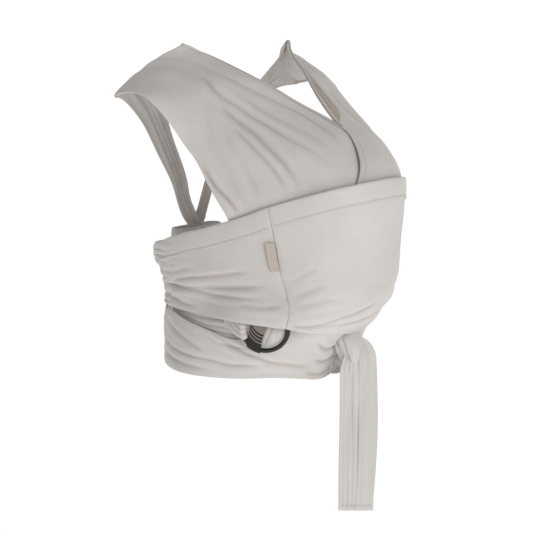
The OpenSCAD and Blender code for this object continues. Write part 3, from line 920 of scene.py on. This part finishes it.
def back_strap(side, height, shift):
    """Narrower strap from the shoulder across the back to the rings on the other hip."""

    def sink(k, t):
        return shift * ease(3, 6, k) + 0 * t

    cloth = Sheet(strap(BACK_ROWS, BACK_UNDER, height, sink, side == "right"))
    cloth.ripple(0.5, (90, 22), 51 + (side == "left"))
    for t in (0.25, 0.5, 0.75):
        cloth.fold([(0.05, t), (0.25, 0.5 + (t - 0.5) * 0.7), (0.45, t)], 2.2, 6, 1.4)
    cloth.gather(0.5, 0.12, 4, 1.8, 53)
    cloth.gather(0.95, 0.2, 4, 3.0, 55)
    cloth.dress(f"back_strap_{side}")


KEEPER_T = 1.6


def back_keeper():
    """Flat sleeve of cloth round both straps where they cross at the back."""
    low, high = [np.array(c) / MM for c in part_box("back_cross_keeper")]
    middle = (low + high) / 2
    turn = np.linspace(0, 2 * math.pi, 49)
    end = (high[1] - low[1]) / 2 - KEEPER_T
    flat = (high[0] - low[0]) / 2 - KEEPER_T - end
    x = middle[0] + end * np.cos(turn) + flat * np.tanh(3 * np.cos(turn))
    y = middle[1] + end * np.sin(turn)

    def surface(u, t):
        outline = curve(np.stack([x, y], axis=1), u)[:, None, :] + 0 * t[None, :, None]
        z = low[2] + (high[2] - low[2]) * t[None, :] + 0 * u[:, None]
        return np.concatenate([outline, z[..., None]], axis=-1)

    sleeve = Sheet(surface, step=1.6, thick=KEEPER_T, core=middle)
    sleeve.ripple(0.3, (22, 12), 61)
    sleeve.dress("back_cross_keeper")
    for k, height in enumerate((0.12, 0.88)):
        path = [(u, height) for u in np.linspace(0.01, 0.99, 40)]
        stitch_row(f"back_cross_keeper_stitches_{k + 1}", sleeve, path)


# ---- knot and tails ----

TAIL_TOP = 4            # height of the hinges at the knot, and of the bends
BEND_Z = -97.2
TAIL_Y = -167.5
TAIL_END = -226         # height of the cut ends, which slope by TAIL_SLANT
TAIL_SLANT = 0.277
TAILS = {
    # low x, high x, bow, inset of the two edges at the top, height of the top,
    # and folds as (t, drift of t down the tail, depth, width)
    "wide": (3, 59, 2.5, (6, 42), 27, [
        (0.02, 0.0, 3.4, 0.05), (0.24, -0.05, 4.0, 0.045), (0.4, 0.0, 1.6, 0.05), (0.72, 0.06, 1.6, 0.09),
    ]),
    "narrow": (-27, 6, 2, (13, 4), 8, [
        (0.28, 0.0, 2.6, 0.08), (0.6, -0.05, 2.0, 0.07), (1.0, 0.0, 5.0, 0.14),
    ]),
}


def tail_surface(kind):
    """Tail that hangs from the knot: bowed, with lengthwise folds, and rounded in at its top."""
    x0, x1, bow, inset, top, folds = TAILS[kind]

    def surface(u, t):
        end = TAIL_END - TAIL_SLANT * (x0 + (x1 - x0) * t + 15)
        z = top + (end - top)[None, :] * u[:, None]
        hang = np.sin(math.pi * np.clip((z - TAIL_TOP) / (TAIL_END - TAIL_TOP), 0, 1))
        rise = np.clip((z + 14) / (top + 14), 0, 1)
        low = x0 + inset[0] * rise**2
        high = x1 - inset[1] * (1 - np.sqrt(1 - rise**2.4))
        x = (low + (high - low) * t[None, :]) * (1 + 0.10 * hang)
        y = TAIL_Y + 3 - bow * np.sin(math.pi * t)[None, :] - 2 * hang + 5 * ease(-4, 24, z)
        for start, drift, depth, width in folds:
            y = y + depth * bump(start + drift * u[:, None], width, t[None, :])
        return np.stack([x, y, z], axis=-1)

    return surface


def tail(kind):
    """Tail in two pieces that share a row of points."""
    cloth = Sheet(tail_surface(kind), thick=2.4, core=(0, 0, 0))
    cloth.ripple(0.4, (60, 14), 81)
    column = cloth.base[:, len(cloth.t) // 2, 2]
    middle = int(np.abs(column - (TAIL_TOP + BEND_Z) / 2).argmin())
    upper, lower = f"{kind}_tail_upper", f"{kind}_tail_lower"
    top = cloth.make(f"{kind}_tail_top", CLOTH, None, [upper], rows=(0, middle))
    end = cloth.make(f"{kind}_tail_end", CLOTH, None, [lower], rows=(middle, len(cloth.u) - 1))
    x = (TAILS[kind][0] + TAILS[kind][1]) / 2
    hinges = [(top, "carrier", upper, 2, -18), (end, upper, lower, BEND_Z + 16, BEND_Z - 16)]
    for piece, above, below, *heights in hinges:
        span = [[v * MM for v in (x, TAIL_Y, z)] for z in heights]
        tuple(span[0])
        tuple(span[1])
        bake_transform(piece)
    for k, up in enumerate((7.5, 9.5)):
        path = [(1 - up / cloth.length, t) for t in np.linspace(0.04, 0.96, 9)]
        stitch_row(f"{kind}_tail_hem_stitches_{k + 1}", cloth, path, lower, pitch=3.0)


# Folded band and side loop of the knot, in rows of (right, out, up) from its middle
KNOT_TURN = math.radians(-25)
KNOT_BAND = [
    [[-8, -4, 24], [0, 2, 29], [9, -4, 27]],
    [[-16, 5, 16], [-3, 17, 21], [13, 6, 20]],
    [[-15, 8, 7], [0, 25, 9], [15, 8, 9]],
    [[-10, 9, -4], [2, 25, -4], [14, 9, -3]],
    [[-5, 8, -13], [4, 20, -14], [12, 8, -11]],
    [[0, 0, -20], [5, 9, -21], [10, 1, -18]],
]
KNOT_LOOP = [
    [[-17, -6, 14], [-12, -1, 18], [-5, -4, 20]],
    [[-18, 0, 4], [-12, 7, 7], [-5, 6, 8]],
    [[-14, 0, -6], [-8, 7, -5], [-2, 6, -3]],
    [[-6, -4, -15], [-2, 2, -14], [3, 1, -12]],
]


def knot_surface(rows, middle):
    """Arched surface through rows given in the knot's own turned frame."""
    right = np.array([math.cos(KNOT_TURN), math.sin(KNOT_TURN), 0])
    out = np.array([math.sin(KNOT_TURN), -math.cos(KNOT_TURN), 0])
    placed = middle + np.array(rows, float) @ np.stack([right, out, [0, 0, 1.0]])

    def surface(u, t):
        g = curve(placed, u)
        return arch(g[:, None, 0], g[:, None, 1], g[:, None, 2], t[None, :, None])

    return surface


def knot():
    """Wrapped knot: a lumpy core, a loop at its side and a folded band drawn over its front."""
    low, high = [np.array(c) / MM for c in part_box("waist_knot")]
    middle = (low + high) / 2
    size = (high - low) / 2 - 1.5

    def ball(u, t):
        turn = (2 * math.pi * u)[:, None]
        rise = (math.pi * (t - 0.5))[None, :] * 0.97
        away = [np.cos(turn) * np.cos(rise), np.sin(turn) * np.cos(rise), np.sin(rise) + 0 * turn]
        return np.stack(away, axis=-1) * size + middle

    core = Sheet(ball, step=1.4, thick=1.6, core=middle)
    core.ripple(0.9, (18, 14), 71)
    core.make("waist_knot_core", CLOTH, "carrier", ["waist_knot"])

    side = Sheet(knot_surface(KNOT_LOOP, middle), step=1.0, thick=2.0, core=middle)
    side.fold([(0.0, 0.35), (0.5, 0.4), (1.0, 0.4)], 1.6, 2.0, 1.3, (0, 0))
    side.make("waist_knot_loop", CLOTH, "carrier")

    over = Sheet(knot_surface(KNOT_BAND, middle), step=1.0, thick=2.4, core=middle)
    over.fold([(0.05, 0.2), (0.5, 0.16), (0.85, 0.2)], 1.8, 2.2, 1.3)
    over.fold([(0.2, 0.86), (0.5, 0.88), (0.85, 0.82)], 1.4, 2.0, 1.3)
    over.fold([(0.35, 0.45), (0.7, 0.5), (1.0, 0.5)], 1.0, 2.4, 1.5, (0.5, 0))
    over.make("waist_knot_band", CLOTH, "carrier")


# ---- rings, webbing and label ----

RING_BAR = 6.8
RING_MEAN = (57.8 + RING_BAR) / 2
RING_OFF = 8.5                  # height of the large ring's middle above the form
RING_TILT = math.radians(94)
RING_GAP = 6.6                  # between the two rings on a hip, middle to middle
BEHIND = np.array([0, 0, -30.0])
WEB_W = 20
WEB_LEAN = math.radians(171)    # direction of the webbing across the ring, from straight up
WEB_SHIFT = -11.5               # how far it lies to one side of the middle
SLEEVE = RING_BAR / 2 + 0.4     # reach of the webbing round the bar
LOOP_MIDDLE = (RING_MEAN - 1.8, -3.1)
LOOP_UP, LOOP_OUT = 7.8, 7.7
PUFF_R = 28.2


def ring_local(points, side):
    """Ring points (X up, Y along the hip, Z out of it, from the ring's middle) in the CAD frame."""
    phi = 540.0 - LEFT_RING if side == "left" else RIGHT_RING
    centre = form(np.array(phi), np.array(RING_Z), RING_OFF)
    yaw = math.atan2(centre[1] / form_front(RING_Z) ** 2, centre[0] / form_w(RING_Z) ** 2)
    level = np.array([math.cos(yaw), math.sin(yaw), 0])
    up = np.array([0, 0, math.sin(RING_TILT)]) - math.cos(RING_TILT) * level
    along = np.array([math.sin(yaw), -math.cos(yaw), 0])
    out = np.array([0, 0, math.cos(RING_TILT)]) + math.sin(RING_TILT) * level
    grid = centre + points @ np.stack([up, along, out])
    return mirrored(grid) if side == "left" else grid


def follow_ring(obj):
    """Bakes the cloth's placement into its mesh."""
    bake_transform(obj)


def ring_strip(side):
    """Striped webbing down over the mouth of a ring, then round its bar."""

    def strip(u, t):
        turn = np.radians(np.linspace(90, -150, 14))
        bar = np.stack([SLEEVE * np.cos(turn), SLEEVE * np.sin(turn)], axis=1)
        flat = [[-44, 2.4], [-32, 3.0], [-18, 3.5], [-8, SLEEVE]]
        at = even_curve(np.vstack([flat, bar]), u)[:, None, :]
        wide = 1 + 0.35 * ease(-14, -40, at[..., 0])
        y = WEB_W * wide * (t - 0.5)[None, :] + WEB_SHIFT
        slant = np.sqrt(1 - (y / RING_MEAN) ** 2)
        r = slant * RING_MEAN + at[..., 0] / slant
        up = r * math.cos(WEB_LEAN) - y * math.sin(WEB_LEAN)
        along = r * math.sin(WEB_LEAN) + y * math.cos(WEB_LEAN)
        return ring_local(np.stack([up, along, at[..., 1] + 0 * y], axis=-1), side)

    web = Sheet(strip, step=1.0, thick=1.2, core=ring_local(BEHIND, side))
    web.make(f"ring_webbing_{side}_strip", WEB, f"ring_large_{side}", [f"ring_webbing_{side}"])


def ring_loop(side):
    """Sewn loop of webbing round the top of both rings, flat on the inside of the band."""

    def loop_surface(u, t):
        turn = (math.pi / 2 + 2 * math.pi * u)[:, None] + 0 * t
        up = LOOP_MIDDLE[0] + LOOP_UP * np.cos(turn)
        out = LOOP_MIDDLE[1] + LOOP_OUT * np.sin(turn)
        return ring_local(np.stack([up, WEB_W * (t - 0.5) + 0 * up, out], axis=-1), side)

    middle = ring_local(np.array([RING_MEAN, 0, -RING_GAP / 2]), side)
    hold = Sheet(loop_surface, step=1.2, thick=1.4, core=middle)
    hold.high[:] = 0
    hold.make(f"ring_anchor_{side}_loop", WEB_PLAIN, "carrier", [f"ring_anchor_{side}"])


def ring_puff(side):
    """Soft end of the strap that fills the rings and swells through the large one."""

    def puff(u, t):
        turn = (2 * math.pi * u)[:, None]
        r = (PUFF_R * (0.01 + 0.99 * t))[None, :]
        up, along = r * np.cos(turn), r * np.sin(turn)
        swell = 5.6 * bump(-7, 15, up) * bump(-11, 13, along)
        crease = 1.5 * bump(-9, 1.8, along + 0.45 * up) + 1.2 * bump(-17, 1.6, along + 0.2 * up)
        crease = crease + 1.0 * bump(2, 1.8, along + 0.3 * up)
        out = -2.9 + (swell - crease * ease(28, 18, r)) * ease(PUFF_R, 22, r)
        return ring_local(np.stack([up, along, out], axis=-1), side)

    cloth = Sheet(puff, step=1.0, thick=1.2, core=ring_local(BEHIND, side))
    obj = cloth.make(f"strap_tail_{side}_puff", CLOTH, None, [f"strap_tail_{side}"])
    follow_ring(obj)


def ring_fold(side):
    """Cloth of the strap that comes over the rear of the large ring and down into its mouth."""

    def fold(u, t):
        r = (20 + 42 * u)[:, None]
        low = 118 - 20 * ease(30, 60, r)
        turn = np.radians(low + (40 - low) * t[None, :])
        out = -1.2 - 25 * ease(33, 64, r) + 6.4 * plateau(RING_MEAN, 5, r) + 0 * turn
        points = np.stack([r * np.cos(turn), r * np.sin(turn), out], axis=-1)
        return ring_local(points, side)

    drape = Sheet(fold, step=1.2, thick=1.6, core=ring_local(2 * BEHIND, side))
    drape.high[:] = 0
    for start in (0.22, 0.4, 0.6):
        drape.fold([(0.05, start), (0.4, start * 0.9), (1.0, start * 1.1)], 1.0, 2.6, 1.4)
    obj = drape.make(f"strap_tail_{side}_fold", CLOTH, None)
    follow_ring(obj)


def ring_parts(side):
    """Everything at one hip. The rings themselves keep the exact shape of the CAD."""
    ring_strip(side)
    ring_loop(side)
    ring_puff(side)
    ring_fold(side)
    for size in ("large", "small"):
        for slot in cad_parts[f"ring_{size}_{side}"].material_slots:
            slot.material = RING


def label():
    """Blank folded label in the right seam, with a thicker folded edge."""
    heights = np.array([146, 186])
    share = (heights - PANEL_LOW[1]) / (PANEL_TOP[1] - PANEL_LOW[1])
    seam = FRONT - SEAM_LOW - (SEAM_TOP - SEAM_LOW) * share
    rows = [[seam[0] - away, heights[0], seam[1] - away, heights[1], CLOTH_T] for away in (0.2, 2.0, 3.7)]
    tag = Sheet(layer(rows), step=0.9, thick=1.2)
    away = tag.coords[..., 0] / tag.length
    tag.high += 0.5 * bump(0.9, 0.14, away) + 0.8 * np.sin(math.pi * tag.t)[None, :] * away
    tag.make("label_fold", LABEL, "label", ["label_tag"])


front_panel()
side_band("right", True)
side_band("left", False)
waist_wrap("right", False)
waist_wrap("left", True)
shoulder_strap("right", L_STRAP_R, SHOULDER_FOLDS)
shoulder_strap("left", L_STRAP_L, LEFT_FOLDS)
back_strap("right", L_STRAP_R, -3.2)
back_strap("left", L_STRAP_L, 3.2)
back_keeper()
knot()
tail("wide")
tail("narrow")
ring_parts("right")
ring_parts("left")
label()


# ---- studio ----

VIEW_DISTANCE = 2.2365  # in metres, like all of the studio
VIEW_TARGET = np.array([0, 0, 0.1177])
FOCAL_LENGTH = 100.06
FLOOR_Z = -1.0
WALL_AT = 4.5
WALL_CURVE = 1.5

azimuth, pitch = math.radians(-50), math.radians(10.4)


def backdrop():
    """Pale floor that curves up into a wall behind the object, seen from the camera."""
    turn = np.linspace(0, math.pi / 2, 24)
    out = np.concatenate([[-8.0], WALL_AT + WALL_CURVE * (np.sin(turn) - 1), [WALL_AT]])
    up = FLOOR_Z + np.concatenate([[0.0], WALL_CURVE * (1 - np.cos(turn)), [6.0]])
    side = np.linspace(-9, 9, 24)
    away = np.array([-math.sin(azimuth), math.cos(azimuth)])
    across = np.array([math.cos(azimuth), math.sin(azimuth)])
    ground = out[:, None, None] * away + side[None, :, None] * across
    verts = np.concatenate([ground, np.broadcast_to(up[:, None, None], ground.shape[:2] + (1,))], axis=-1)
    ids = np.arange(verts.shape[0] * verts.shape[1]).reshape(verts.shape[:2])
    obj = new_object("backdrop", verts.reshape(-1, 3) / MM, quads(ids.T).tolist())
    obj.data.materials.append(plain("paper", (200, 200, 200), 1.0, 0.68))


def aim(obj, place_at, target):
    obj.location = place_at
    obj.rotation_euler = (Vector(target) - Vector(place_at)).to_track_quat("-Z", "Y").to_euler()
    scene.collection.objects.link(obj)


def softbox(name, place_at, size, power):
    lamp = bpy.data.lights.new(name, "AREA")
    lamp.shape = "RECTANGLE"
    lamp.size, lamp.size_y = size
    lamp.energy = power
    aim(bpy.data.objects.new(name, lamp), place_at, (0, -0.05, 0.12))


toward = np.array([math.sin(azimuth), -math.cos(azimuth), math.tan(pitch)]) * math.cos(pitch)
lens = bpy.data.cameras.new("view")
lens.lens = FOCAL_LENGTH
lens.sensor_width = 36
lens.shift_x = 0.00469
camera = bpy.data.objects.new("view", lens)
aim(camera, VIEW_TARGET + VIEW_DISTANCE * toward, VIEW_TARGET)
bpy.context.scene.camera = camera

backdrop()
softbox("key", (-0.7, -2.7, 0.8), (1.6, 1.6), 34)
softbox("fill", (-2.6, -0.6, 0.5), (2.0, 2.0), 7)
softbox("top", (-0.4, 0.2, 3.0), (1.8, 1.8), 5)

world = bpy.data.worlds.new("studio")
world.use_nodes = True
sky = world.node_tree.nodes["Background"].inputs
sky["Color"].default_value = (1, 1, 1, 1)
sky["Strength"].default_value = 0.34
scene.world = world
scene.view_settings.view_transform = "Standard"
